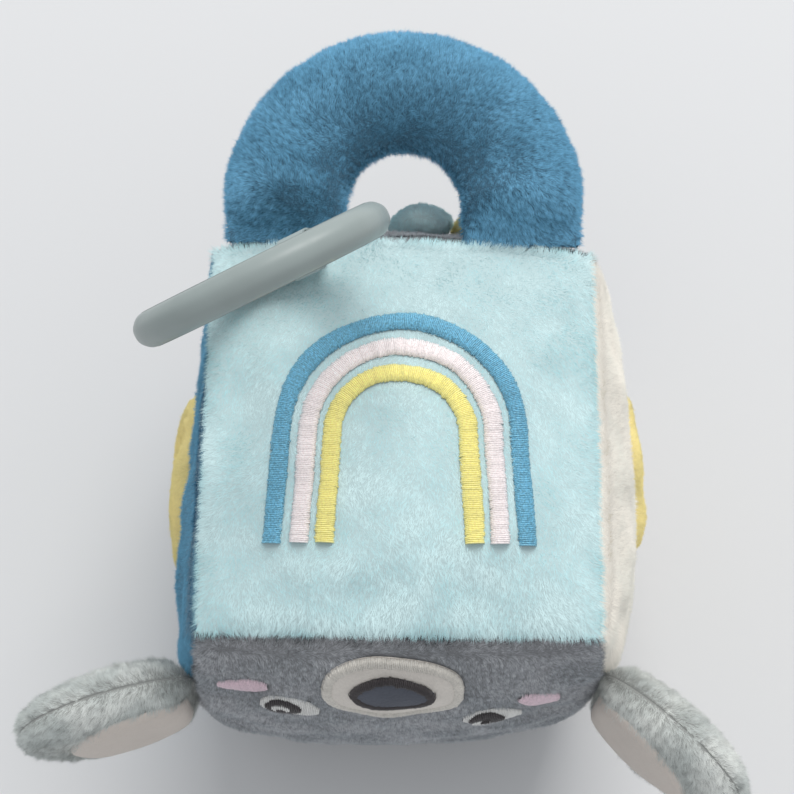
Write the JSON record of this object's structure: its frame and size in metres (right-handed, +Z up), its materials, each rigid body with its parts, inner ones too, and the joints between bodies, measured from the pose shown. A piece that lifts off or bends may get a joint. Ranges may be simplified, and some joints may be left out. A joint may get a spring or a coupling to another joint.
{
  "type": "soft fabric block",
  "caption": "Stuffed plush activity cube with a stitched rainbow, an animal's face with ears, a padded carrying handle and a plastic teether ring on a ribbon.",
  "frame": {"origin": "centre of the flat patch of the base panel that the block rests on", "axes": "+Z up from the resting face to the rainbow panel, -Y towards the animal's face, +Y towards the handle, -X towards the blue side"},
  "size_m": [0.1895, 0.196, 0.1805],
  "materials": {
    "aqua_plush": "short plush pile, aqua",
    "blue_plush": "short plush pile, deep blue",
    "side_blue_plush": "short plush pile, mid blue",
    "grey_plush": "short plush pile, grey",
    "cream_plush": "short plush pile, cream",
    "yellow_plush": "short plush pile, yellow",
    "dark_plush": "short plush pile, dark grey",
    "muzzle_plush": "short plush pile, pale grey",
    "blue_thread": "satin stitch, blue",
    "pink_thread": "satin stitch, pale pink",
    "yellow_thread": "satin stitch, yellow",
    "white_thread": "satin stitch, white",
    "dark_thread": "satin stitch, near black",
    "cheek_thread": "satin stitch, pink",
    "ribbon": "woven ribbon, pale",
    "teether": "satin moulded plastic, grey-green",
    "stuffing": "loose fibre filling, white"
  },
  "bodies": {
    "block": {"rainbow_panel": "aqua_plush", "face_panel": "grey_plush", "back_panel": "grey_plush", "blue_side_panel": "side_blue_plush", "cream_side_panel": "cream_plush", "base_panel": "grey_plush", "stuffing_core": "stuffing", "rainbow_blue_band": "blue_thread", "rainbow_pink_band": "pink_thread", "rainbow_yellow_band": "yellow_thread", "muzzle": "muzzle_plush", "nose": "dark_plush", "blue_side_eye_white": "white_thread", "blue_side_pupil": "dark_thread", "blue_side_cheek": "cheek_thread", "cream_side_eye_white": "white_thread", "cream_side_pupil": "dark_thread", "cream_side_cheek": "cheek_thread", "cloud_cushion": "yellow_plush", "star_cushion": "yellow_plush", "aqua_puff": "aqua_plush", "yellow_puff": "yellow_plush"},
    "handle": {"handle_upper_cover": "blue_plush", "handle_lower_cover": "blue_plush", "handle_stuffing": "stuffing"},
    "blue_side_ear": {"blue_side_ear_back_cover": "grey_plush", "blue_side_ear_front_cover": "grey_plush", "blue_side_ear_inner_patch": "cream_plush", "blue_side_ear_stuffing": "stuffing"},
    "cream_side_ear": {"cream_side_ear_back_cover": "grey_plush", "cream_side_ear_front_cover": "grey_plush", "cream_side_ear_inner_patch": "cream_plush", "cream_side_ear_stuffing": "stuffing"},
    "ring_loop": {"ribbon_loop": "ribbon"},
    "ring": {"teether_ring": "teether"}
  },
  "joints": [
    {"name": "handle_flop", "type": "hinge", "parent": "block", "child": "handle", "pos_m": [0, 0.0541, 0.1114], "axis": [1, 0, 0], "range_deg": [-12, 15], "stiffness_Nm_per_rad": 0.05, "springref_deg": 6.3},
    {"name": "blue_side_ear_bend", "type": "hinge", "parent": "block", "child": "blue_side_ear", "pos_m": [-0.05296, -0.05594, 0.066], "axis": [0, 0, 1], "range_deg": [-8, 35], "stiffness_Nm_per_rad": 0.01},
    {"name": "cream_side_ear_bend", "type": "hinge", "parent": "block", "child": "cream_side_ear", "pos_m": [0.05345, -0.05298, 0.066], "axis": [0, 0, 1], "range_deg": [-25, 25], "stiffness_Nm_per_rad": 0.01},
    {"name": "loop_swing", "type": "hinge", "parent": "block", "child": "ring_loop", "pos_m": [-0.0226, 0.0534, 0.1148], "axis": [-1, 0, 0], "range_deg": [0, 25]},
    {"name": "ring_turn", "type": "hinge", "parent": "ring_loop", "child": "ring", "pos_m": [-0.034, 0.0283, 0.1485], "axis": [-0.4515, 0.8002, 0.3947], "continuous": true}
  ]
}
